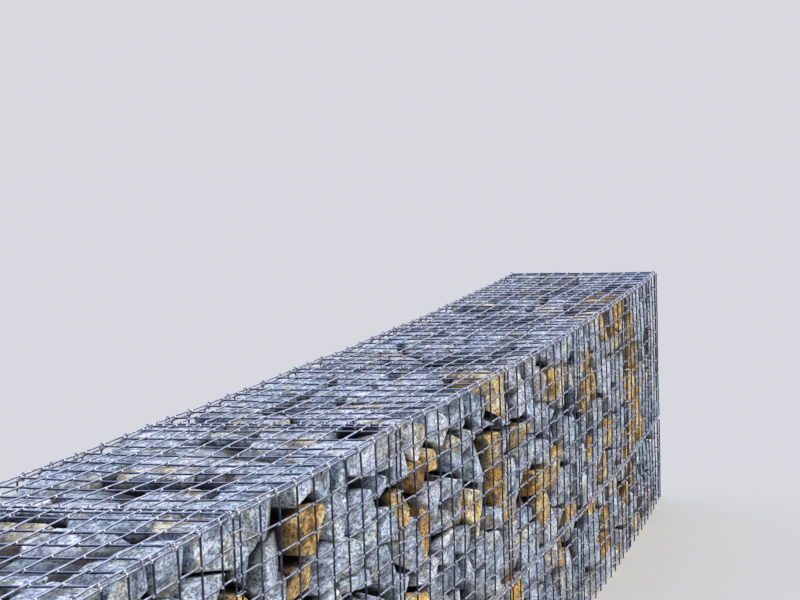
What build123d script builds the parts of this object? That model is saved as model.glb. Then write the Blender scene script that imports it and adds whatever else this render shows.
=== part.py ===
from build123d import *
import math
import os

# Gabion garden wall: welded wire baskets full of stone, two courses high, in a gently bending row
# Millimetres, +Z up. The origin is on the ground, at the middle of the first basket's base
# The row runs away along +X, and its show side faces -Y

# Baskets and the row they stand in
BAY_COUNT = 6
BASKET_LENGTH = 962.0
BASKET_DEPTH = 500.0
BASKET_HEIGHT = 504.0
WALL_HEIGHT = 800.0
SEAM_GAP = 28.0
COURSE_GAP = 11.0

# The row is straight at first, then each basket is turned a little more to the left
STRAIGHT_BAYS = 3
BEND_STEP = 1.1

# Welded mesh: its wires lie in two layers, one set on top of the other
WIRE = 4.0
LONG_CELL = 100.0
SHORT_CELL = 50.0

# Closing rings of thinner wire, each bent round a pair of mesh wires, with a narrow mouth
RING_WIRE = 2.5
RING_CLEARANCE = 0.3
RING_MOUTH = 2.0
EDGE_RING_CELLS = 1.25

# Stone fill, one mass in each basket, with its edges rounded off as loose stone lies
FILL_CHAMFER = 24.0
FILL_JOINT = 0.3

BAY_PITCH = BASKET_LENGTH + SEAM_GAP
SEAM_SPAN = SEAM_GAP + WIRE
RING_HALF = WIRE + math.sqrt(2) * RING_CLEARANCE
FILL_TOP = WALL_HEIGHT - 2 * WIRE
UPPER_BASE = FILL_TOP - BASKET_HEIGHT
LOWER_TOP = UPPER_BASE - COURSE_GAP
COURSE_LINE = (UPPER_BASE + LOWER_TOP) / 2

os.makedirs("parts", exist_ok=True)


def full_cells(total, cell):
    """Wire centres one cell apart, from the panel's edge to the last whole cell."""
    count = int((total - 2 * WIRE) // cell) + 1
    return [WIRE / 2 + cell * i for i in range(count)]


def closed_cells(total, cell):
    """The same, with a wire at the panel's far edge, which closes a short last cell."""
    return full_cells(total, cell) + [total - WIRE / 2]


def wire(length):
    """A wire as a bar of four sides, along X from the origin."""
    return Box(length, WIRE, WIRE, align=(Align.MIN, Align.CENTER, Align.MIN))


def mesh_panel(width, height, posts, rows):
    """A flat welded panel: rows along X in the lower layer, and posts along Y welded on top."""
    lower = [Pos(0, y, 0) * wire(width) for y in rows]
    upper = [Pos(x, 0, WIRE) * Rot(Z=90) * wire(height) for x in posts]
    return (Part() + lower) + upper


def lid_panel():
    """The lid lies on the stone: its cross wires are underneath, and its long wires are on top."""
    width = BASKET_DEPTH + WIRE
    long_wires = closed_cells(width, SHORT_CELL)
    cross_wires = closed_cells(BASKET_LENGTH, LONG_CELL)
    flat = mesh_panel(width, BASKET_LENGTH, long_wires, cross_wires)
    return Pos(0, width - WIRE / 2, FILL_TOP) * Rot(Z=-90) * flat


def upright(width, height, posts, rows, base):
    """A panel stood on its edge at y = 0, with its rows against the stone and its posts outside."""
    from_top = [height - place for place in rows]
    return Pos(0, 0, base) * Rot(X=90) * mesh_panel(width, height, posts, from_top)


def upper_panel(width, posts):
    return upright(width, BASKET_HEIGHT, posts, closed_cells(BASKET_HEIGHT, SHORT_CELL), UPPER_BASE)


def lower_panel(width, posts):
    """The lower basket goes on into the ground, so its mesh ends at ground level with open cells."""
    return upright(width, LOWER_TOP, posts, full_cells(LOWER_TOP, SHORT_CELL), 0)


def stone(near, far, near_turn, far_turn, base, top):
    """One basket's stone between its panels, with its ends on the lines that halve the bends."""
    near_back = near + BASKET_DEPTH * math.tan(math.radians(near_turn / 2))
    far_back = far - BASKET_DEPTH * math.tan(math.radians(far_turn / 2))
    plan = Polyline((near, 0), (far, 0), (far_back, BASKET_DEPTH), (near_back, BASKET_DEPTH), close=True)
    mass = Pos(0, 0, base) * extrude(make_face(plan), top - base)
    edges = [edge for edge in mass.edges() if edge.center().Z > WIRE]
    return chamfer(edges, FILL_CHAMFER)


def ring(span):
    """A closing ring round two wires that lie span apart along X, centred on them, with its mouth at +X."""
    inside = ring_outline(span / 2, RING_HALF)
    outside = ring_outline(span / 2 + RING_WIRE * (math.sqrt(2) - 1), RING_HALF + RING_WIRE)
    mouth = Pos(span + RING_HALF, 0, 0) * Box(span + 2 * RING_HALF, RING_MOUTH, 2 * RING_WIRE)
    return extrude(outside - inside, RING_WIRE / 2, both=True) - mouth


def ring_outline(shoulder, half):
    """An outline of six sides: two flats half above and below the middle, closed by corners at each end."""
    tip = shoulder + half
    right = (shoulder, half), (tip, 0), (shoulder, -half)
    left = (-shoulder, -half), (-tip, 0), (-shoulder, half)
    return make_face(Polyline(*right, *left, close=True))


def edge_rings(side):
    """Rings along a top edge of one basket, round the lid's outer wire and the panel's top wire."""
    lid_y, panel_y = (0, -WIRE / 2) if side == "front" else (BASKET_DEPTH, BASKET_DEPTH + WIRE / 2)
    drop = 2 * WIRE
    middle = FILL_TOP + 3 * WIRE / 2 - drop / 2
    span = math.hypot(lid_y - panel_y, drop)
    pitch = EDGE_RING_CELLS * LONG_CELL
    first = WIRE / 2 + pitch / 2
    loops = []
    for i in range(int((BASKET_LENGTH - first) // pitch) + 1):
        origin = (first + pitch * i, (lid_y + panel_y) / 2, middle)
        loops.append(Plane(origin, x_dir=(0, panel_y - lid_y, -drop), z_dir=(1, 0, 0)) * ring(span))
    return loops


def seam_rings(turn):
    """Rings across a seam of the lids, round the end wires of two baskets, one in each cell."""
    slant = math.sin(math.radians(turn))
    loops = []
    for y in full_cells(BASKET_DEPTH - SHORT_CELL / 2, SHORT_CELL):
        place = y + SHORT_CELL / 2
        span = SEAM_SPAN - slant * place
        origin = (BASKET_LENGTH - WIRE / 2 + span / 2, place, FILL_TOP + WIRE / 2)
        loops.append(Plane(origin, x_dir=(1, 0, 0), z_dir=(0, 1, 0)) * ring(span))
    return loops


def turn_of(bay):
    """How far a basket is turned from the one before it."""
    return BEND_STEP if bay >= STRAIGHT_BAYS and bay < BAY_COUNT else 0.0


def bay_places():
    """Each basket's front corner and heading, found by walking along the front of the row."""
    x, y, heading = -BASKET_LENGTH / 2, -BASKET_DEPTH / 2, 0.0
    places = []
    for bay in range(BAY_COUNT):
        heading += turn_of(bay)
        places.append(Pos(x, y, 0) * Rot(Z=heading))
        x += BAY_PITCH * math.cos(math.radians(heading))
        y += BAY_PITCH * math.sin(math.radians(heading))
    return places


def write(name, *pieces):
    solids = [solid for piece in pieces for solid in piece.solids()]
    node = solids[0] if len(solids) == 1 else Compound(children=solids)
    node.label = name
    export_step(node, f"parts/{name}.step")


front_posts = closed_cells(BASKET_LENGTH, LONG_CELL)
end_posts = closed_cells(BASKET_DEPTH, LONG_CELL)

lid = lid_panel()
front_upper = upper_panel(BASKET_LENGTH, front_posts)
front_lower = lower_panel(BASKET_LENGTH, front_posts)
back_upper = Pos(0, BASKET_DEPTH, 0) * mirror(front_upper, about=Plane.XZ)
back_lower = Pos(0, BASKET_DEPTH, 0) * mirror(front_lower, about=Plane.XZ)
end_upper = upper_panel(BASKET_DEPTH, end_posts)
end_lower = lower_panel(BASKET_DEPTH, end_posts)

places = bay_places()
for bay, place in enumerate(places):
    number = bay + 1
    near = 0.0 if bay == 0 else (FILL_JOINT - SEAM_GAP) / 2
    far = BASKET_LENGTH if number == BAY_COUNT else BASKET_LENGTH - (FILL_JOINT - SEAM_GAP) / 2
    bends = turn_of(bay), turn_of(number)
    write(f"lid_{number}", place * lid)
    write(f"front_upper_{number}", place * front_upper)
    write(f"front_lower_{number}", place * front_lower)
    write(f"back_mesh_{number}", place * back_upper, place * back_lower)
    write(f"stone_upper_{number}", place * stone(near, far, *bends, COURSE_LINE, FILL_TOP))
    write(f"stone_lower_{number}", place * stone(near, far, *bends, 0, COURSE_LINE))

write("rings_front_top", *[place * loop for place in places for loop in edge_rings("front")])
write("rings_back_top", *[place * loop for place in places for loop in edge_rings("back")])
seams = [(place, turn_of(number)) for number, place in enumerate(places[:-1], start=1)]
write("rings_lid_seams", *[place * loop for place, turn in seams for loop in seam_rings(turn)])

near_corner = places[0] * Pos(0, BASKET_DEPTH, 0) * Rot(Z=-90)
far_corner = places[-1] * Pos(BASKET_LENGTH, 0, 0) * Rot(Z=90)
write("near_end", near_corner * end_upper, near_corner * end_lower)
write("far_end", far_corner * end_upper, far_corner * end_lower)
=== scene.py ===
import math
import random
from collections import namedtuple

import bpy
from mathutils import Matrix, Vector, noise


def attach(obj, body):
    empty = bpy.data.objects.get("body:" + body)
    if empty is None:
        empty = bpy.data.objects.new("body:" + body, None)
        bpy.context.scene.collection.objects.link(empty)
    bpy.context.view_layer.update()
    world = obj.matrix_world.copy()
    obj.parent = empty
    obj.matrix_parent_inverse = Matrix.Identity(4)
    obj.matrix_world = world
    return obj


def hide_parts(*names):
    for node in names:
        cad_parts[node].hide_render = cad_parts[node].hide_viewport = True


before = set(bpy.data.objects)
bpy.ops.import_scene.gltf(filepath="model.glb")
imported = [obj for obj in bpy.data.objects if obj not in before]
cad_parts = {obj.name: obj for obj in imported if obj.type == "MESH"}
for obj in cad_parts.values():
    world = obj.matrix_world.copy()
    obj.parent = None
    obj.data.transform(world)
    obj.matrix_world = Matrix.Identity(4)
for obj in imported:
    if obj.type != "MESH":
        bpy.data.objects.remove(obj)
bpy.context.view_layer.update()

# The wall's sizes, in metres, as its CAD model has them
BAY_COUNT = 6
LENGTH = 0.962
DEPTH = 0.500
FILL_TOP = 0.792
UPPER_BASE = 0.288
LOWER_TOP = 0.277
COURSE_LINE = 0.2825
BAY_PITCH = 0.990
STRAIGHT_BAYS = 3
BEND_STEP = math.radians(1.1)
WIRE = 0.004
LONG_CELL = 0.100
SHORT_CELL = 0.050

X = Vector((1, 0, 0))
Y = Vector((0, 1, 0))
Z = Vector((0, 0, 1))


def clamped(value, least=0, most=1):
    return min(max(value, least), most)


# Where the baskets stand


def turn_of(bay):
    """How far a basket is turned from the one before it. The first basket is number 0."""
    return BEND_STEP if STRAIGHT_BAYS <= bay < BAY_COUNT else 0.0


def basket_places():
    """Each basket's front corner and heading, found by walking along the front of the row."""
    corner, heading, places = Vector((-LENGTH / 2, -DEPTH / 2, 0)), 0.0, []
    for bay in range(BAY_COUNT):
        heading += turn_of(bay)
        turn = Matrix.Rotation(heading, 4, "Z")
        places.append(Matrix.Translation(corner) @ turn)
        corner = corner + turn @ Vector((BAY_PITCH, 0, 0))
    return places


PLACES = basket_places()

# How a filled basket settles: the lid hangs between its ends, and the sides belly out
EDGE_SAG = 0.0035
LID_SAG = 0.0040
SIDE_BELLY = 0.0045

# The lower basket goes on below the ground, and so does this share of the arch of its belly
BURIED_ARCH = 0.35

# How the whole row strays from true: in long waves, and in short kinks
WOBBLE = 0.0022
WOBBLE_LENGTH = 0.17
KINK = 0.0008
KINK_LENGTH = 0.045

# Without a seed of its own, Blender's noise takes one from the clock
NOISE_SEED = 1
noise.seed_set(NOISE_SEED)


def arch(value):
    """0 at both ends of the range 0 to 1, and 1 at its middle."""
    return math.sin(math.pi * clamped(value))


def settled(point, bay):
    """Moves a point of a straight new basket to where it lies in the filled and settled row."""
    along, across = arch(point.x / LENGTH), arch(point.y / DEPTH)
    rise = clamped((point.z - UPPER_BASE) / (FILL_TOP - UPPER_BASE))
    if point.z > COURSE_LINE:
        belly = arch(rise)
    else:
        belly = arch(BURIED_ARCH + (1 - BURIED_ARCH) * point.z / LOWER_TOP)
    side = 2 * point.y / DEPTH - 1
    moved = point.copy()
    moved.z -= along * rise * rise * (EDGE_SAG + LID_SAG * across)
    moved.y += SIDE_BELLY * along * belly * clamped(side, -1)
    moved = PLACES[bay] @ moved
    wave = WOBBLE * noise.noise_vector(moved / WOBBLE_LENGTH)
    stir = wave + KINK * noise.noise_vector(moved / KINK_LENGTH)
    stir.z *= clamped(point.z / LOWER_TOP)
    return moved + stir


def settle(piece, bay):
    for vertex in piece.data.vertices:
        vertex.co = settled(vertex.co, bay)


# Ways of working


def only(*pieces):
    """Leaves nothing selected but these, with the first one active."""
    bpy.ops.object.select_all(action="DESELECT")
    for piece in pieces:
        piece.select_set(True)
    bpy.context.view_layer.objects.active = pieces[0]


def shape(add, **settings):
    """Adds a plain shape, selected alone, with its place, turn and size taken into its mesh."""
    bpy.ops.object.select_all(action="DESELECT")
    add(**settings)
    bpy.ops.object.transform_apply(location=True, rotation=True, scale=True)
    return bpy.context.object


def joined(name, pieces):
    only(*pieces)
    if len(pieces) > 1:
        bpy.ops.object.join()
    pieces[0].name = name
    pieces[0].data.name = name
    return pieces[0]


def copied(piece):
    twin = piece.copy()
    twin.data = piece.data.copy()
    bpy.context.scene.collection.objects.link(twin)
    return twin


def repeated(piece, count, step):
    """Sets a piece out in a row, one step apart, as one mesh."""
    only(piece)
    row = piece.modifiers.new("row", "ARRAY")
    row.use_relative_offset = False
    row.use_constant_offset = True
    row.constant_offset_displace = step
    row.count = count
    bpy.ops.object.modifier_apply(modifier=row.name)
    return piece


def mark_points(piece, name, kind, values):
    """Gives each point of a piece a value for its material to read."""
    layer = piece.data.attributes.new(name, kind, "POINT")
    layer.data.foreach_set("vector" if kind == "FLOAT_VECTOR" else "value", values)


def smooth(piece, crease):
    """Shades a piece smooth, apart from edges that turn by more than the crease, in degrees."""
    only(piece)
    bpy.ops.object.shade_smooth_by_angle(angle=math.radians(crease))


def finish_piece(piece, material, nodes):
    """Gives a piece its material, hangs it from the root, and hides the parts of the CAD that it
    stands for.
    """
    piece.data.materials.clear()
    piece.data.materials.append(material)
    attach(piece, "root")
    if nodes:
        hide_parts(*nodes)


# Welded mesh

WIRE_SIDES = 8
WIRE_SECTION = 0.040
BEAD = 0.0040
MESH_CREASE = 50

UPPER_HEIGHT = FILL_TOP - UPPER_BASE
UPPER_ROWS = 11
LOWER_ROWS = 6
SIDE_POSTS = 10
END_POSTS = 5


def wire(start, end):
    """A length of drawn round wire, divided along its length so that it can bend."""
    run = end - start
    piece = shape(
        bpy.ops.mesh.primitive_cylinder_add,
        vertices=WIRE_SIDES,
        radius=WIRE / 2,
        depth=run.length,
        location=(start + end) / 2,
        rotation=run.to_track_quat("Z", "Y").to_euler(),
    )
    bpy.ops.object.mode_set(mode="EDIT")
    bpy.ops.mesh.select_mode(type="EDGE")
    bpy.ops.mesh.select_all(action="DESELECT")
    bpy.ops.object.mode_set(mode="OBJECT")
    points = piece.data.vertices
    for edge in piece.data.edges:
        near, far = edge.vertices
        edge.select = (points[far].co - points[near].co).length > run.length / 2
    bpy.ops.object.mode_set(mode="EDIT")
    bpy.ops.mesh.subdivide(number_cuts=max(2, round(run.length / WIRE_SECTION)) - 1)
    bpy.ops.object.mode_set(mode="OBJECT")
    return piece


def weld_bead(place):
    """The small lump where two wires are welded, marked so that its zinc is painted near-white,
    partly as paler zinc and partly as a painted highlight.
    """
    bead = shape(
        bpy.ops.mesh.primitive_ico_sphere_add, subdivisions=1, radius=BEAD, location=place
    )
    mark_points(bead, "painted_weld_highlight", "FLOAT", [1.0] * len(bead.data.vertices))
    return bead


def welded_panel(corner, along, down, out, width, height, rows, posts, rows_outside=False):
    """Flat welded mesh laid out from one corner, with a last post that closes a short cell."""
    row_layer, post_layer = (1.5, 0.5) if rows_outside else (0.5, 1.5)
    first_row = corner + down * WIRE / 2 + out * WIRE * row_layer
    first_post = corner + along * WIRE / 2 + out * WIRE * post_layer
    last_post = first_post + along * (width - WIRE)
    first_bead = corner + (along + down) * WIRE / 2 + out * WIRE
    last_bead = first_bead + along * (width - WIRE)
    row_wires = repeated(wire(first_row, first_row + along * width), rows, down * SHORT_CELL)
    post_wires = repeated(wire(first_post, first_post + down * height), posts, along * LONG_CELL)
    closing_post = wire(last_post, last_post + down * height)
    bead_column = repeated(weld_bead(first_bead), rows, down * SHORT_CELL)
    beads = repeated(bead_column, posts, along * LONG_CELL)
    closing_beads = repeated(weld_bead(last_bead), rows, down * SHORT_CELL)
    return joined("panel", [row_wires, post_wires, closing_post, beads, closing_beads])


def upright_panels(corner, along, out, width, posts):
    """The upper and the lower panel of one side, stood one on the other."""
    upper_corner, lower_corner = corner + Z * FILL_TOP, corner + Z * LOWER_TOP
    upper = welded_panel(upper_corner, along, -Z, out, width, UPPER_HEIGHT, UPPER_ROWS, posts)
    lower = welded_panel(lower_corner, along, -Z, out, width, LOWER_TOP, LOWER_ROWS, posts)
    return upper, lower


def hang_panel(name, patterns, bay, zinc, cad_name):
    """Copies one or two panels into a basket, as one piece that stands for one node of the CAD."""
    panel = joined(name, [copied(pattern) for pattern in patterns])
    settle(panel, bay)
    smooth(panel, MESH_CREASE)
    finish_piece(panel, zinc, [cad_name])


def hang_panels(zinc):
    """Every panel, modelled once for a straight basket, and then copied and settled in each one."""
    lid_corner = Vector((0, -WIRE / 2, FILL_TOP))
    lid = welded_panel(lid_corner, X, Y, Z, LENGTH, DEPTH + WIRE, UPPER_ROWS, SIDE_POSTS, True)
    front = upright_panels(Vector(), X, -Y, LENGTH, SIDE_POSTS)
    back = upright_panels(Y * DEPTH, X, Y, LENGTH, SIDE_POSTS)
    near = upright_panels(Y * DEPTH, -Y, -X, DEPTH, END_POSTS)
    far = upright_panels(X * LENGTH, Y, X, DEPTH, END_POSTS)
    kinds = (
        ("lid", "lid", [lid]),
        ("front_upper", "front_upper", front[:1]),
        ("front_lower", "front_lower", front[1:]),
        ("back", "back_mesh", back),
    )
    for bay in range(BAY_COUNT):
        for name, cad_name, patterns in kinds:
            hang_panel(f"wires_{name}_{bay + 1}", patterns, bay, zinc, f"{cad_name}_{bay + 1}")
    hang_panel("wires_near_end", near, 0, zinc, "near_end")
    hang_panel("wires_far_end", far, BAY_COUNT - 1, zinc, "far_end")
    for pattern in (lid, *front, *back, *near, *far):
        bpy.data.objects.remove(pattern)


# Closing rings

RING_WIRE = 0.0025
RING_SIDES = 6
RING_STEPS = 8
RING_CLEARANCE = 0.0003
RING_REACH = WIRE / 2 + RING_WIRE / 2 + RING_CLEARANCE
RING_MOUTH = math.radians(24)
RING_CREASE = 60

# The ring is modelled once, round wires this far apart, and each copy is opened out or closed up
PATTERN_SPAN = 0.020


def closing_ring(span):
    """A C-ring bent round two wires, span apart along X, with its mouth beyond the second one."""
    bend = (math.pi - RING_MOUTH) / 2
    lip = Matrix.Rotation(RING_MOUTH / 2, 3, "Z") @ Vector((RING_REACH, 0, 0))
    ring = shape(
        bpy.ops.mesh.primitive_circle_add,
        vertices=RING_SIDES,
        radius=RING_WIRE / 2,
        fill_type="NGON",
        location=(span / 2 + lip.x, lip.y, 0),
        rotation=(math.pi / 2, 0, RING_MOUTH / 2),
    )
    first, second = (-span / 2, 0, 0), (span / 2, 0, 0)
    bpy.ops.object.mode_set(mode="EDIT")
    bpy.ops.mesh.select_mode(type="FACE")
    bpy.ops.mesh.select_all(action="SELECT")
    bpy.ops.mesh.spin(steps=RING_STEPS // 2, angle=bend, center=second, axis=(0, 0, 1))
    bpy.ops.mesh.extrude_region_move(TRANSFORM_OT_translate={"value": (-span, 0, 0)})
    bpy.ops.mesh.spin(steps=RING_STEPS, angle=math.pi, center=first, axis=(0, 0, 1))
    bpy.ops.mesh.extrude_region_move(TRANSFORM_OT_translate={"value": (span, 0, 0)})
    bpy.ops.mesh.spin(steps=RING_STEPS // 2, angle=bend, center=second, axis=(0, 0, 1))
    bpy.ops.mesh.select_all(action="SELECT")
    bpy.ops.mesh.normals_make_consistent(inside=False)
    bpy.ops.object.mode_set(mode="OBJECT")
    return ring


# Where rings sit: along the top edges, across the lid seams and the ends, and up the seams
EDGE_RINGS = [0.0645 + 0.125 * i for i in range(8)]
LID_SEAM_RINGS = [0.027 + 0.050 * i for i in range(10)]
END_RINGS = (0.077, 0.227, 0.377)
UPRIGHT_RINGS = (0.765, 0.665, 0.565, 0.465, 0.365, 0.200, 0.100)

# How far a ring on a top edge has slid along its wire
RING_SLACK = 0.006

# Where the wires lie that rings hold: how far out from the stone, how high, and how far along
ROW_LAYER = WIRE / 2
POST_LAYER = WIRE * 3 / 2
LID_LOW = FILL_TOP + ROW_LAYER
LID_HIGH = FILL_TOP + POST_LAYER
TOP_ROW = FILL_TOP - ROW_LAYER
UPPER_LAST_ROW = UPPER_BASE + ROW_LAYER
LOWER_FIRST_ROW = LOWER_TOP - ROW_LAYER
FIRST_POST = WIRE / 2
LAST_POST = LENGTH - WIRE / 2

RING_SETS = ("front_top", "back_top", "lid_seams", "side_seams", "course_seams", "ends")

# Where the front and the back stand, and which way is out, by the set of rings along their top
LONG_SIDES = {"front_top": (0, -1), "back_top": (DEPTH, 1)}


def ring_round(pattern, first, second, bays, way):
    """A copy of the ring, fitted to the two wires that it holds, in one basket or in two."""
    near, far = settled(Vector(first), bays[0]), settled(Vector(second), bays[-1])
    across = (far - near).normalized()
    side = (PLACES[bays[0]].to_3x3() @ way).cross(across).normalized()
    opening = ((far - near).length - PATTERN_SPAN) / 2
    ring = copied(pattern)
    for vertex in ring.data.vertices:
        vertex.co.x += opening if vertex.co.x > 0 else -opening
    place = Matrix((across, side, across.cross(side))).transposed().to_4x4()
    place.translation = (near + far) / 2
    ring.data.transform(place)
    return ring


def ring_places():
    """The pairs of wires that rings hold: first and second point, baskets and wire direction."""
    sets = {name: [] for name in RING_SETS}
    draw = random.Random("rings")
    for bay in range(BAY_COUNT):
        for name, (face, out) in LONG_SIDES.items():
            row = face + out * ROW_LAYER
            for even in EDGE_RINGS:
                x = even + draw.uniform(-RING_SLACK, RING_SLACK)
                sets[name].append(((x, face, LID_HIGH), (x, row, TOP_ROW), [bay], X))
                first, second = (x, row, UPPER_LAST_ROW), (x, row, LOWER_FIRST_ROW)
                sets["course_seams"].append((first, second, [bay], X))
    for bay in range(BAY_COUNT - 1):
        pair = [bay, bay + 1]
        for y in LID_SEAM_RINGS:
            first, second = (LAST_POST, y, LID_LOW), (FIRST_POST, y, LID_LOW)
            sets["lid_seams"].append((first, second, pair, Y))
        for face, out in LONG_SIDES.values():
            post = face + out * POST_LAYER
            for z in UPRIGHT_RINGS:
                first, second = (LAST_POST, post, z), (FIRST_POST, post, z)
                sets["side_seams"].append((first, second, pair, Z))
    for bay, end, out, post_x in ((0, 0, -1, FIRST_POST), (BAY_COUNT - 1, LENGTH, 1, LAST_POST)):
        for y in END_RINGS:
            first, second = (post_x, y, LID_LOW), (end + out * ROW_LAYER, y, TOP_ROW)
            sets["ends"].append((first, second, [bay], Y))
        for face, side in LONG_SIDES.values():
            corner = end + out * POST_LAYER, face - side * ROW_LAYER
            for z in UPRIGHT_RINGS:
                first = (post_x, face + side * POST_LAYER, z)
                sets["ends"].append((first, (*corner, z), [bay], Z))
    return sets


def hang_rings(steel):
    """One ring is bent, and a copy of it is closed round each pair of wires."""
    pattern = closing_ring(PATTERN_SPAN)
    stands_for = {name: [f"rings_{name}"] for name in ("front_top", "back_top", "lid_seams")}
    for name, places in ring_places().items():
        rings = [ring_round(pattern, *place) for place in places]
        piece = joined(f"closing_rings_{name}", rings)
        smooth(piece, RING_CREASE)
        finish_piece(piece, steel, stands_for.get(name))
    bpy.data.objects.remove(pattern)


# Materials


def linear(code):
    """A hex colour as an artist picks it, turned into the renderer's linear light."""
    parts = [int(code[i : i + 2], 16) / 255 for i in (1, 3, 5)]
    return [p / 12.92 if p <= 0.04045 else ((p + 0.055) / 1.055) ** 2.4 for p in parts] + [1]


def node(tree, kind, inputs=None, stops=None, **settings):
    """Adds a shader node with its settings, its values, and the sockets that feed it."""
    made = tree.nodes.new(kind)
    for name, value in settings.items():
        setattr(made, name, value)
    for name, value in (inputs or {}).items():
        if isinstance(value, bpy.types.NodeSocket):
            tree.links.new(value, made.inputs[name])
        else:
            made.inputs[name].default_value = value
    if stops:
        marks = made.color_ramp.elements
        while len(marks) < len(stops):
            marks.new(1)
        for mark, (place, code) in zip(marks, stops):
            mark.position = place
            mark.color = linear(code)
    return made


def ramp(tree, value, *stops):
    """A colour picked from a row of hex colours by a value from 0 to 1."""
    return node(tree, "ShaderNodeValToRGB", {"Fac": value}, stops=stops).outputs["Color"]


def mix(tree, share, first, second, way="MIX"):
    """Two colours laid one over the other, by a share from 0 to 1."""
    inputs = {"Fac": share, "Color1": first, "Color2": second}
    return node(tree, "ShaderNodeMixRGB", inputs, blend_type=way).outputs["Color"]


def cloud(tree, place, size, detail=2.0, roughness=0.5):
    """Noise with lumps of about this size in metres."""
    inputs = {"Vector": place, "Scale": 1 / size, "Detail": detail, "Roughness": roughness}
    return node(tree, "ShaderNodeTexNoise", inputs)


def relief(tree, height, strength, depth, beneath=None):
    """Bumps of this depth in metres, on top of the relief beneath."""
    inputs = {"Strength": strength, "Distance": depth, "Height": height}
    if beneath is not None:
        inputs["Normal"] = beneath
    return node(tree, "ShaderNodeBump", inputs).outputs["Normal"]


def new_material(name):
    material = bpy.data.materials.new(name)
    material.use_nodes = True
    return material, material.node_tree.nodes["Principled BSDF"]


def galvanised_wire():
    """Weathered hot-dip galvanised wire: slate-grey zinc, painted pale where it faces up as painted
    top light, and dark on its sides as painted shade.
    """
    material, surface = new_material("hot_dip_galvanised_wire")
    tree = material.node_tree
    place = node(tree, "ShaderNodeTexCoord").outputs["Object"]
    bloom = cloud(tree, place, size=0.020, detail=4.0).outputs["Fac"]
    # Painted light: the dark ramp is painted shade on the wire's sides, the pale ramp painted light
    # on its tops, mixed by how far the surface faces up
    zinc = ramp(tree, bloom, (0.30, "#2E3446"), (0.52, "#444B60"), (0.72, "#6E748C"))
    painted_top_light = ramp(tree, bloom, (0.30, "#989AB2"), (0.52, "#BEC0D3"), (0.72, "#E0E1EC"))
    normal = node(tree, "ShaderNodeNewGeometry").outputs["Normal"]
    facing = node(tree, "ShaderNodeSeparateXYZ", {"Vector": normal}).outputs["Z"]
    top_light_share = node(
        tree, "ShaderNodeMapRange", {"Value": facing, "From Min": 0.05, "From Max": 0.65}
    ).outputs["Result"]
    zinc_with_painted_light = mix(tree, top_light_share, zinc, painted_top_light)
    # Painted highlight: weld beads are painted near-white, partly paler zinc and partly the glint
    # that welds catch
    spot = node(tree, "ShaderNodeAttribute", attribute_name="painted_weld_highlight").outputs["Fac"]
    tint = mix(tree, spot, zinc_with_painted_light, linear("#F2F3F8"))
    dull = node(
        tree, "ShaderNodeMapRange", {"Value": bloom, "To Min": 0.34, "To Max": 0.50}
    ).outputs["Result"]
    pits = cloud(tree, place, size=0.0015).outputs["Fac"]
    tree.links.new(tint, surface.inputs["Base Color"])
    tree.links.new(dull, surface.inputs["Roughness"])
    tree.links.new(relief(tree, pits, strength=0.3, depth=0.0003), surface.inputs["Normal"])
    surface.inputs["Metallic"].default_value = 0.6
    return material


def ring_wire():
    """Zinc-aluminium coated ring wire, drawn hard: smoother, paler and shinier than the mesh."""
    material, surface = new_material("zinc_aluminium_ring_wire")
    tree = material.node_tree
    place = node(tree, "ShaderNodeTexCoord").outputs["Object"]
    bloom = cloud(tree, place, size=0.012, detail=3.0).outputs["Fac"]
    tint = ramp(tree, bloom, (0.30, "#A2A7B0"), (0.60, "#DADCE2"))
    tree.links.new(tint, surface.inputs["Base Color"])
    surface.inputs["Metallic"].default_value = 0.85
    surface.inputs["Roughness"].default_value = 0.36
    return material


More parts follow.
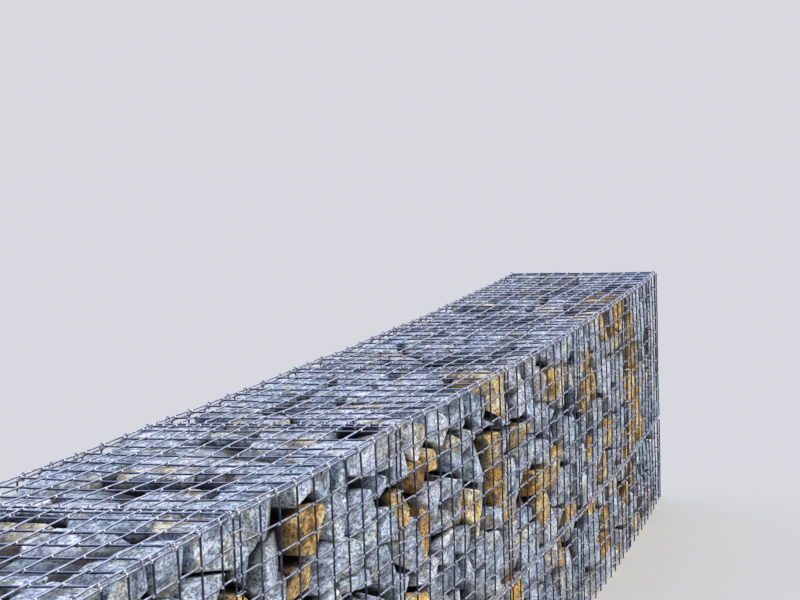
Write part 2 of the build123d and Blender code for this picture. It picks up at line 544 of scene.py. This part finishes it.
def split_stone():
    """Split blue-grey hornfels: rough faces, with rust where water stood in its joints."""
    material, surface = new_material("split_hornfels")
    tree = material.node_tree
    place = node(tree, "ShaderNodeTexCoord").outputs["Object"]
    look = node(tree, "ShaderNodeAttribute", attribute_name="stone_look").outputs["Vector"]
    lot = node(tree, "ShaderNodeAttribute", attribute_name="stone_lot").outputs["Fac"]
    buried = node(tree, "ShaderNodeAttribute", attribute_name="joint_depth").outputs["Fac"]
    parts = node(tree, "ShaderNodeSeparateXYZ", {"Vector": look}).outputs
    tone, stain, warmth = parts["X"], parts["Y"], parts["Z"]

    # Each stone has its own part of the pattern, and its beds dip by its own angle
    shift = node(
        tree, "ShaderNodeVectorMath", {0: (7.3, 3.1, 5.7), "Scale": lot}, operation="SCALE"
    ).outputs["Vector"]
    moved = node(
        tree, "ShaderNodeVectorMath", {0: place, 1: shift}, operation="ADD"
    ).outputs["Vector"]
    dip = node(
        tree, "ShaderNodeMath", {0: lot, 1: 0.5, 2: -0.25}, operation="MULTIPLY_ADD"
    ).outputs["Value"]
    turned = node(
        tree, "ShaderNodeVectorRotate", {"Vector": moved, "Angle": dip}, rotation_type="Y_AXIS"
    ).outputs["Vector"]
    bedded = node(
        tree, "ShaderNodeMapping", {"Vector": turned, "Scale": (0.36, 0.9, 1.0)}
    ).outputs["Vector"]

    # The patches, flakes and grain of a broken face
    mottle = cloud(tree, bedded, size=0.030, detail=6.0, roughness=0.62).outputs["Fac"]
    warp = cloud(tree, bedded, size=0.018).outputs["Color"]
    bent = node(
        tree,
        "ShaderNodeVectorMath",
        {0: warp, 1: (0.020, 0.020, 0.020), 2: bedded},
        operation="MULTIPLY_ADD",
    ).outputs["Vector"]
    flakes = node(tree, "ShaderNodeTexVoronoi", {"Vector": bent, "Scale": 1 / 0.016})
    flake = node(tree, "ShaderNodeSeparateXYZ", {"Vector": flakes.outputs["Color"]}).outputs["X"]
    grain = cloud(tree, bedded, size=0.0050, detail=2.5, roughness=0.75).outputs["Fac"]

    # The rock's own colour, grey or browner, with a slow drift of hue
    grey = ramp(
        tree, tone, (0.0, "#808E9F"), (0.3, "#B2C2D0"), (0.65, "#D8E4EC"), (1.0, "#F8FAFC")
    )
    brown = ramp(tree, tone, (0.0, "#756A68"), (0.5, "#B3A7A0"), (1.0, "#E0D6CC"))
    drift = cloud(tree, bedded, size=0.048, detail=3.0, roughness=0.55).outputs["Fac"]
    hue = ramp(
        tree, drift, (0.34, "#E0D6C4"), (0.43, "#EEF0EC"), (0.52, "#E6F0FA"), (0.64, "#E8E6F6")
    )
    tinted = mix(tree, 1.0, mix(tree, warmth, grey, brown), hue, "MULTIPLY")

    # Rust, from brown at its heart to pale gold
    rust = cloud(tree, bedded, size=0.070, detail=5.0, roughness=0.62).outputs["Fac"]
    reach = node(tree, "ShaderNodeMath", {0: rust, 1: stain}, operation="ADD").outputs["Value"]
    rusted = node(
        tree, "ShaderNodeMapRange", {"Value": reach, "From Min": 0.96, "From Max": 1.12}
    ).outputs["Result"]
    ochre = ramp(
        tree, rust, (0.36, "#7E5224"), (0.44, "#D29A42"), (0.52, "#F2C264"), (0.63, "#FAE8BC")
    )
    tan = ramp(
        tree, rust, (0.36, "#665642"), (0.45, "#A3916C"), (0.54, "#CBB893"), (0.66, "#E6DCC6")
    )
    paling = node(tree, "ShaderNodeMath", {0: lot, 1: 0.5}, operation="MULTIPLY").outputs["Value"]
    stained = mix(tree, rusted, tinted, mix(tree, paling, ochre, tan))

    # Light and dark over both, and soil with painted shade down the joints
    light_dark = ramp(tree, mottle, (0.36, "#7A7A7A"), (0.46, "#CFCFCF"), (0.56, "#FFFFFF"))
    mottled = mix(tree, 0.8, stained, light_dark, "MULTIPLY")
    flake_light = ramp(tree, flake, (0.0, "#868686"), (0.3, "#D6D6D6"), (1.0, "#FFFFFF"))
    flaked = mix(tree, 0.7, mottled, flake_light, "MULTIPLY")
    speckle = ramp(tree, grain, (0.36, "#6E6E6E"), (0.48, "#C2C2C2"), (0.58, "#FFFFFF"))
    speckled = mix(tree, 0.95, flaked, speckle, "OVERLAY")
    # Painted shade: stone deep in a joint is darkened to near-black brown, partly soil and partly
    # the shade that falls there
    soil_and_shade = node(
        tree,
        "ShaderNodeMapRange",
        {"Value": buried, "From Min": 0.011, "From Max": 0.038, "To Max": 0.96},
    ).outputs["Result"]
    soiled_and_shaded = mix(tree, soil_and_shade, speckled, linear("#1C1511"))

    # The relief of a broken face, from its facets down to its grain
    chips = node(tree, "ShaderNodeTexVoronoi", {"Vector": bedded, "Scale": 1 / 0.022})
    facets = relief(tree, chips.outputs["Distance"], strength=0.5, depth=0.005)
    steps = relief(tree, flake, strength=0.5, depth=0.003, beneath=facets)
    rough = relief(tree, mottle, strength=0.6, depth=0.005, beneath=steps)
    fine = relief(tree, grain, strength=0.6, depth=0.002, beneath=rough)
    tree.links.new(soiled_and_shaded, surface.inputs["Base Color"])
    tree.links.new(fine, surface.inputs["Normal"])
    surface.inputs["Roughness"].default_value = 0.82
    surface.inputs["Specular IOR Level"].default_value = 0.35
    return material


def shaded_rubble():
    """Small rubble deep in the basket, brown with washed-in soil and darkened almost to black as
    painted shade, so that the joints look dark.
    """
    material, surface = new_material("rubble_dark_with_soil_and_shade")
    tree = material.node_tree
    place = node(tree, "ShaderNodeTexCoord").outputs["Object"]
    lumps = node(tree, "ShaderNodeTexVoronoi", {"Vector": place, "Scale": 1 / 0.035})
    height = lumps.outputs["Distance"]
    # Painted shade: the rubble's near-black browns stand for the shade deep in the basket
    tint = ramp(tree, height, (0.1, "#332921"), (0.7, "#120E0B"))
    inputs = {"Strength": 1.0, "Distance": 0.01, "Height": height}
    bump = node(tree, "ShaderNodeBump", inputs, invert=True)
    tree.links.new(tint, surface.inputs["Base Color"])
    tree.links.new(bump.outputs["Normal"], surface.inputs["Normal"])
    surface.inputs["Roughness"].default_value = 0.95
    return material


# Broken stone

STONE_LONG = 0.162
STONE_HIGH = 0.0780
STONE_DEEP = 0.125
STONE_CREASE = 24

# Distances count for less along the row and for more in height, so stones come out long and low
STONE_REACH = (1 / 1.60, 1.0, 1 / 0.82)

# How far stone reaches into the seam between two baskets
STONE_SEAM_REACH = 0.0132
CORE_SEAM_REACH = 0.009

# How far the rows of stones are from even: in their number, and in shares of their own spacing
ROW_COUNT_STRAY = 0.3
STRAY_ALONG = 0.25
STRAY_DEEP = 0.16
STRAY_HIGH = 0.27

# The most that one stone can push the joint towards its neighbour, in square metres
MOST_WEIGHT = 0.0030

# Places on the show side near which stones are rust-stained: distance along the row, and height
RUSTY_POCKETS = (
    (0.55, 0.70), (1.05, 0.65), (1.30, 0.60), (1.40, 0.70), (1.45, 0.40), (2.05, 0.60),
    (2.15, 0.65), (2.20, 0.40), (2.25, 0.50), (2.35, 0.70), (2.60, 0.50), (2.75, 0.45),
    (2.70, 0.25), (2.95, 0.75), (2.90, 0.60), (2.90, 0.50), (3.05, 0.45), (3.15, 0.65),
    (3.10, 0.25), (3.30, 0.50), (3.45, 0.45), (3.50, 0.40), (3.60, 0.50), (3.65, 0.25),
    (4.15, 0.55), (4.25, 0.70), (4.25, 0.45), (4.30, 0.60), (4.30, 0.25), (4.45, 0.30),
    (4.50, 0.20), (4.45, 0.10), (4.80, 0.75), (4.80, 0.65), (4.95, 0.30), (5.10, 0.65),
    (5.15, 0.60), (5.30, 0.55), (5.20, 0.50), (5.25, 0.40), (5.20, 0.35), (5.25, 0.25),
    (5.15, 0.15), (5.25, 0.10), (4.50, 0.75), (3.60, 0.70), (4.60, 0.45), (3.95, 0.30),
    (4.95, 0.15), (5.05, 0.45), (5.10, 0.55), (5.10, 0.35), (5.10, 0.25), (5.30, 0.45),
    (5.30, 0.30), (5.05, 0.70),
)

# A stone before it is split off: its middle, its weight, and on which sides of the fill it lies
Seed = namedtuple("Seed", "middle weight top_row front back near_end far_end")


def stray(draw, most):
    return draw.uniform(-most, most)


def stone_seeds(draw, near, far, base, top):
    """The seeds of one course of a basket, in rows and layers that don't line up."""
    rows = round((top - base) / STONE_HIGH + stray(draw, ROW_COUNT_STRAY))
    layers = round(DEPTH / STONE_DEEP)
    rise, deep = (top - base) / rows, DEPTH / layers
    seeds = []
    for row in range(rows):
        for layer in range(layers):
            count = round((far - near) / STONE_LONG) + draw.choice((-1, 0, 0, 1))
            pitch = (far - near) / count
            shift = stray(draw, STRAY_ALONG) * pitch
            for i in range(count):
                middle = Vector((
                    near + (i + 0.5 + stray(draw, STRAY_ALONG)) * pitch + shift,
                    (layer + 0.5 + stray(draw, STRAY_DEEP)) * deep,
                    base + (row + 0.5 + stray(draw, STRAY_HIGH)) * rise,
                ))
                seeds.append(Seed(
                    middle=middle,
                    weight=draw.uniform(0, MOST_WEIGHT),
                    top_row=row == rows - 1,
                    front=layer == 0,
                    back=layer == layers - 1,
                    near_end=i == 0,
                    far_end=i == count - 1,
                ))
    return seeds


def scaled(vector):
    return Vector(a * b for a, b in zip(vector, STONE_REACH))


# A stone is split off from this many of its nearest neighbours
NEIGHBOURS = 14

# How far from a stone's middle the joint lies, as a share of the way to its neighbour's middle
LEAST_SHARE, MOST_SHARE = 0.32, 0.68

# How much stone is lost at a joint: a share of them are tight, and those under the lid gape most
TIGHT_SHARE = 0.48
TIGHT_JOINT = (0.0012, 0.004)
SIDE_JOINT = (0.004, 0.013)
LID_JOINT = (0.004, 0.019)
JOINT_TILT = 0.13


def joint_cuts(draw, seed, seeds, loose):
    """The planes between a stone and its nearest neighbours, with tight joints and loose ones."""
    by_distance = sorted(seeds, key=lambda other: scaled(other.middle - seed.middle).length)
    cuts = []
    for other in by_distance[1 : NEIGHBOURS + 1]:
        gap = other.middle - seed.middle
        reach = scaled(gap)
        share = 0.5 + (seed.weight - other.weight) / (2 * reach.length_squared)
        share = clamped(share, LEAST_SHARE, MOST_SHARE)
        out = scaled(reach).normalized()
        joint = draw.uniform(*(TIGHT_JOINT if draw.random() < TIGHT_SHARE else loose))
        tilt = Vector(stray(draw, JOINT_TILT) for axis in range(3))
        cuts.append((seed.middle + gap * share - out * joint, (out + tilt).normalized()))
    return cuts


# How a stone can lie against the mesh: its face's lean, and its least and most depth behind it
FLAT, LEANING, SUNK = (0.08, 0.001, 0.007), (0.30, 0.005, 0.018), (0.25, 0.018, 0.034)
STEEP, LOW = (0.26, 0.004, 0.018), (0.20, 0.012, 0.022)
SIDE_FACES = (FLAT,) * 9 + (LEANING,) * 8 + (SUNK,)
LID_FACES = (FLAT,) * 7 + (STEEP,) * 8 + (LOW,) * 2
EDGE_FACES = (FLAT,) * 3 + (LEANING,)

# No stone comes nearer to the mesh than this
MESH_CLEARANCE = 0.0006


def face_cuts(draw, middle, out, plane, at_edge):
    """A face that rests against the mesh, or lies a little behind it, and leans a little."""
    ways = EDGE_FACES if at_edge else LID_FACES if out == Z else SIDE_FACES
    slope, shallow, deep = draw.choice(ways)
    tilt = Vector(stray(draw, slope) for axis in range(3))
    lean = (out + tilt - out * tilt.dot(out)).normalized()
    depth = draw.uniform(shallow, deep)
    on_face = middle + out * (plane - middle.dot(out))
    return [(on_face - out * depth, lean), (on_face - out * MESH_CLEARANCE, out)]


# How many corners are knocked off, and how much of the way out to a corner is left at the least
CHIPS_ON_ONE_FACE, CHIPS_ON_MORE = (4, 7), (2, 4)
LEFT_AT_SIDE, LEFT_UNDER_LID, LEFT_ON_MORE = 0.65, 0.76, 0.86
LEFT_AT_MOST = 0.96

# The least share that each of the three directions has in the way out to a corner
LEAST_SLANT = 0.3


def corner_cuts(draw, middle, faces):
    """Corners knocked off where it shows. Less is lost under the lid, and least on two faces."""
    outward = sum((out for out, plane in faces), Vector())
    half = Vector((STONE_LONG, STONE_DEEP, STONE_HIGH)) / 2
    for out, plane in faces:
        for axis in range(3):
            if out[axis]:
                half[axis] = plane - middle.dot(out)
    alone, under_lid = len(faces) == 1, faces[0][0] == Z
    least = (LEFT_UNDER_LID if under_lid else LEFT_AT_SIDE) if alone else LEFT_ON_MORE
    cuts = []
    for chip in range(draw.randint(*(CHIPS_ON_ONE_FACE if alone else CHIPS_ON_MORE))):
        way = Vector(draw.choice((-1, 1)) * draw.uniform(LEAST_SLANT, 1) for axis in range(3))
        if way.dot(outward) < 0:
            way = -way
        way.normalize()
        reach = sum(abs(a) * b for a, b in zip(way, half))
        cuts.append((middle + way * reach * draw.uniform(least, LEFT_AT_MOST), way))
    return cuts


# A block larger than any stone is split, points this near each other are merged, edges are worn
# down, and the larger faces are raised a little in their middle
BLOCK = 0.5
MERGE = 0.005
EDGE_WEAR = 0.0034
FACE_CROWN = 0.002

# Soil and leaf mould settle on top of the wall, and its joints are given more painted shade, so
# there the joints are dark from less far down
TOP_SOIL_AND_SHADE = 1.6


def broken_stone(middle, cuts, faces, look, lot):
    """A block, split along each cut, with its edges worn."""
    stone = shape(bpy.ops.mesh.primitive_cube_add, size=BLOCK, location=middle)
    bpy.ops.object.mode_set(mode="EDIT")
    for point, out in cuts:
        bpy.ops.mesh.select_all(action="SELECT")
        bpy.ops.mesh.bisect(plane_co=point, plane_no=out, use_fill=True, clear_outer=True)
    bpy.ops.mesh.select_all(action="SELECT")
    bpy.ops.mesh.remove_doubles(threshold=MERGE)
    bpy.ops.mesh.normals_make_consistent(inside=False)
    bpy.ops.mesh.bevel(offset=EDGE_WEAR, segments=1, affect="EDGES", clamp_overlap=True)
    bpy.ops.mesh.select_mode(type="FACE")
    bpy.ops.mesh.select_all(action="DESELECT")
    bpy.ops.mesh.select_face_by_sides(number=4, type="GREATER")
    bpy.ops.mesh.poke(offset=FACE_CROWN)
    bpy.ops.mesh.select_mode(type="VERT")
    bpy.ops.object.mode_set(mode="OBJECT")
    points = [vertex.co for vertex in stone.data.vertices]
    for point in points:
        point.z = max(point.z, 0)
    # Painted shade: on top of the wall, the soil and shade darkening starts nearer the surface
    soil_and_shade = TOP_SOIL_AND_SHADE if faces[0][0] == Z else 1.0
    depths = [soil_and_shade * min(plane - point.dot(out) for out, plane in faces) for point in points]
    mark_points(stone, "stone_look", "FLOAT_VECTOR", list(look) * len(depths))
    mark_points(stone, "stone_lot", "FLOAT", [lot] * len(depths))
    mark_points(stone, "joint_depth", "FLOAT", depths)
    return stone


def rusty_seeds(seeds, bay, base, top):
    """The show side's seed nearest to each rusty place in this course of the basket."""
    shown = [seed for seed in seeds if seed.front]
    nearest = []
    for x, z in RUSTY_POCKETS:
        spot = Vector((x - bay * BAY_PITCH, 0, z))
        if 0 <= spot.x < BAY_PITCH and base <= z < top:
            spot.y = shown[0].middle.y
            nearest.append(min(shown, key=lambda seed: scaled(seed.middle - spot).length))
    return nearest


# How light the stones are
MEAN_TONE = 0.68
TONE_SPREAD = 0.13

# How far rust has reached on a rusty stone, with a little more in each basket further away
LEAST_RUST = 0.54
RUST_PER_BAY = 0.02
RUST_SPREAD = 0.2

# How far rust has reached on any other stone: mostly not at all
FAINT_STAINS = (0.05, 0.12, 0.20, 0.28, 0.34, 0.40, 0.48)

# How brown a stone is, and how much of that shows in the near basket and in each one further
WARMTHS = (0.0, 0.05, 0.1, 0.15, 0.25, 0.4, 0.7)
NEAR_WARMTH = 0.15
WARMTH_PER_BAY = 0.25


def stone_look(draw, bay, rusty):
    """How light, how rusty and how brown a stone is, with more rust and brown further away."""
    tone = clamped(draw.gauss(MEAN_TONE, TONE_SPREAD))
    least_rust = LEAST_RUST + RUST_PER_BAY * bay
    if rusty:
        stain = draw.uniform(least_rust, least_rust + RUST_SPREAD)
    else:
        stain = draw.choice(FAINT_STAINS)
    warmth = draw.choice(WARMTHS) * (NEAR_WARMTH + WARMTH_PER_BAY * bay)
    return tone, stain, warmth


def fill_ends(bay, seam_reach):
    """Where a basket's fill begins and ends: at the end of the row, or in the seam."""
    near = 0.0 if bay == 0 else -seam_reach
    far = LENGTH if bay == BAY_COUNT - 1 else LENGTH + seam_reach
    return near, far


def fill_course(draw, bay, base, top, upper):
    """The stones that show in one course of a basket."""
    near, far = fill_ends(bay, STONE_SEAM_REACH)
    near_lean, far_lean = (math.tan(turn_of(n) / 2) for n in (bay, bay + 1))
    seeds = stone_seeds(draw, near, far, base, top)
    rusty = rusty_seeds(seeds, bay, base, top)
    stones = []
    for seed in seeds:
        under_lid = upper and seed.top_row
        sides = (
            (under_lid, Z, top),
            (seed.front, -Y, 0),
            (seed.back, Y, DEPTH),
            (bay == 0 and seed.near_end, -X, -near),
            (bay == BAY_COUNT - 1 and seed.far_end, X, far),
        )
        faces = [(out, plane) for shows, out, plane in sides if shows]
        if not faces:
            continue
        cuts = joint_cuts(draw, seed, seeds, LID_JOINT if under_lid else SIDE_JOINT)
        cuts.append((Z * base, -Z))
        cuts.append((Z * top, Z))
        cuts.append((X * near, Vector((-1, near_lean, 0))))
        cuts.append((X * far, Vector((1, far_lean, 0))))
        for out, plane in faces:
            cuts.extend(face_cuts(draw, seed.middle, out, plane, len(faces) > 1))
        cuts.extend(corner_cuts(draw, seed.middle, faces))
        look = stone_look(draw, bay, seed in rusty)
        stones.append(broken_stone(seed.middle, cuts, faces, look, draw.random()))
    return stones


# The rubble core: how far it stays in from the sides and below the lid, and how lumpy it is
CORE_INSET = 0.095
CORE_DROP = 0.085
CORE_DIVISIONS = 14
CORE_LUMP = 0.022
CORE_LUMP_LENGTH = 0.06


def rubble_core(bay, base, top):
    """The stone deeper in the basket, which only shows as dark shapes down the joints."""
    near, far = fill_ends(bay, CORE_SEAM_REACH)
    left = near + (CORE_INSET if bay == 0 else 0)
    right = far - (CORE_INSET if bay == BAY_COUNT - 1 else 0)
    size = Vector((right - left, DEPTH - 2 * CORE_INSET, top - base))
    middle = Vector((left + right, DEPTH, base + top)) / 2
    core = shape(bpy.ops.mesh.primitive_cube_add, size=1, location=middle, scale=size)
    bpy.ops.object.mode_set(mode="EDIT")
    bpy.ops.mesh.select_all(action="SELECT")
    bpy.ops.mesh.subdivide(number_cuts=CORE_DIVISIONS)
    bpy.ops.object.mode_set(mode="OBJECT")
    for vertex in core.data.vertices:
        lump = noise.noise_vector((PLACES[bay] @ vertex.co) / CORE_LUMP_LENGTH)
        lump.x = 0
        lump.z = lump.z if base < vertex.co.z else 0
        vertex.co += CORE_LUMP * lump
    return core


def fill_baskets(rock, rubble):
    """Each course's stones are one piece, and the core of both courses is another."""
    for bay in range(BAY_COUNT):
        number = bay + 1
        cores = []
        for course, base, top in (("upper", COURSE_LINE, FILL_TOP), ("lower", 0.0, COURSE_LINE)):
            draw = random.Random(f"{course} {number}")
            upper = course == "upper"
            stones = fill_course(draw, bay, base, top, upper)
            mass = joined(f"broken_stone_{course}_{number}", stones)
            settle(mass, bay)
            smooth(mass, STONE_CREASE)
            finish_piece(mass, rock, [f"stone_{course}_{number}"])
            cores.append(rubble_core(bay, base, top - CORE_DROP if upper else top))
        core = joined(f"rubble_core_{number}", cores)
        settle(core, bay)
        both_courses = [f"stone_upper_{number}", f"stone_lower_{number}"]
        finish_piece(core, rubble, both_courses)


# Floor, light and camera


def lay_floor():
    """A pale matt floor, far wider than the wall is long."""
    bpy.ops.object.select_all(action="DESELECT")
    bpy.ops.mesh.primitive_plane_add(size=80, location=(2.5, 0, 0))
    floor = bpy.context.object
    floor.name = "floor"
    pale, surface = new_material("pale_floor")
    surface.inputs["Base Color"].default_value = linear("#D4D1C8")
    surface.inputs["Roughness"].default_value = 1.0
    surface.inputs["Specular IOR Level"].default_value = 0.0
    floor.data.materials.append(pale)


def light_sky():
    """A bright grey-blue sky, brighter beyond the far end, with a plain pale backdrop."""
    world = bpy.data.worlds.new("studio")
    world.use_nodes = True
    bpy.context.scene.world = world
    tree = world.node_tree
    direction = node(tree, "ShaderNodeTexCoord").outputs["Generated"]
    parts = node(tree, "ShaderNodeSeparateXYZ", {"Vector": direction}).outputs
    tent = ramp(
        tree, parts["Z"], (0.0, "#7A7C80"), (0.20, "#A2A6AE"), (0.50, "#B6C3DE"), (1.0, "#A4B8E6")
    )
    ahead = node(
        tree, "ShaderNodeMath", {0: parts["X"], 1: 0.80, 2: 1.0}, operation="MULTIPLY_ADD"
    ).outputs["Value"]
    lit = node(
        tree, "ShaderNodeVectorMath", {0: tent, "Scale": ahead}, operation="SCALE"
    ).outputs["Vector"]
    seen = node(tree, "ShaderNodeLightPath").outputs["Is Camera Ray"]
    sky = tree.nodes["Background"]
    tree.links.new(mix(tree, seen, lit, linear("#D0D2D8")), sky.inputs["Color"])
    sky.inputs["Strength"].default_value = 1.08


def hang_sun():
    """A broad soft light, from above the show side and the far end."""
    sun = bpy.data.lights.new("key", "SUN")
    sun.energy = 2.5
    sun.angle = math.radians(40)
    sun.color = linear("#FFF8F0")[:3]
    key = bpy.data.objects.new("key", sun)
    key.rotation_euler = Vector((-0.42, 0.52, -0.74)).to_track_quat("-Z", "Y").to_euler()
    bpy.context.scene.collection.objects.link(key)


def set_camera():
    """The photo's view: along the row from beside its near end, through a long lens."""
    camera = bpy.data.objects.new("camera", bpy.data.cameras.new("camera"))
    camera.data.lens = 111.76
    camera.location = (-3.1775, -1.5134, 1.4469)
    camera.rotation_euler = [math.radians(a) for a in (85.2141, 1.6019, -75.1739)]
    bpy.context.scene.collection.objects.link(camera)
    bpy.context.scene.camera = camera
    bpy.context.scene.view_settings.view_transform = "Standard"


fill_baskets(split_stone(), shaded_rubble())
hang_panels(galvanised_wire())
hang_rings(ring_wire())
lay_floor()
light_sky()
hang_sun()
set_camera()
